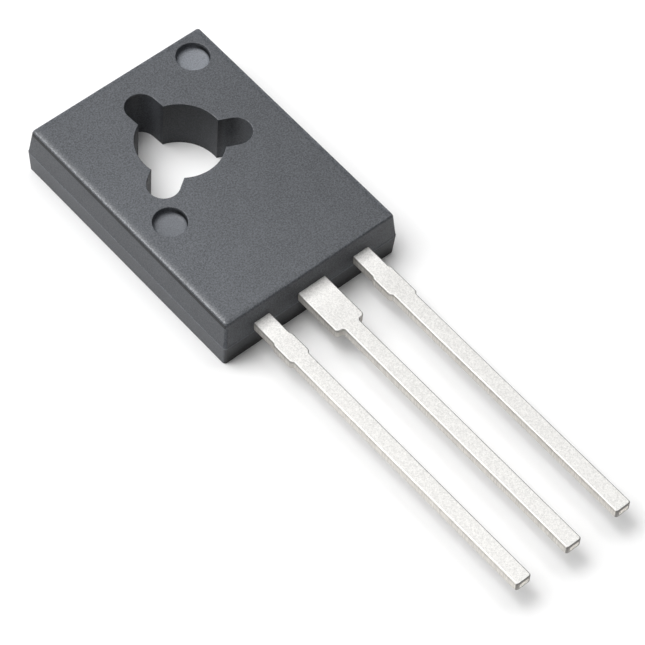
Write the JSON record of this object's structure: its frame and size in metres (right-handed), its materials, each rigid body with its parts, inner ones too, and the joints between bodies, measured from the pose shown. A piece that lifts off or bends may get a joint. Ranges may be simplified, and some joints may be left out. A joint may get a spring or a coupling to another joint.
{
  "type": "thyristor",
  "caption": "Flat moulded power thyristor with in-line leads and a screw hole; a small gate current makes it conduct from anode to cathode until the load current stops.",
  "frame": {"origin": "axis of the screw hole in the mounting plane at the back of the case", "axes": "+Z out of the front of the case, +Y from the leads to the far end, +X from the cathode lead to the gate lead"},
  "size_m": [0.0078, 0.0243, 0.0022],
  "materials": {
    "filled_epoxy": "matte spark-eroded mould finish, charcoal grey",
    "tinned_copper": "matt tin plate, finely grained, pale warm silver",
    "soft_solder": "dull grey solder",
    "silicon": "polished dark grey silicon",
    "passivation_glass": "fused glass, faintly green",
    "aluminium_wire": "drawn soft aluminium wire"
  },
  "bodies": {
    "root": {"moulded_case": "filled_epoxy", "cathode_lead": "tinned_copper", "anode_heatsink": "tinned_copper", "gate_lead": "tinned_copper", "die_solder": "soft_solder", "thyristor_die": "silicon", "glass_passivation": "passivation_glass", "cathode_bond_wire": "aluminium_wire", "gate_bond_wire": "aluminium_wire"}
  },
  "joints": []
}
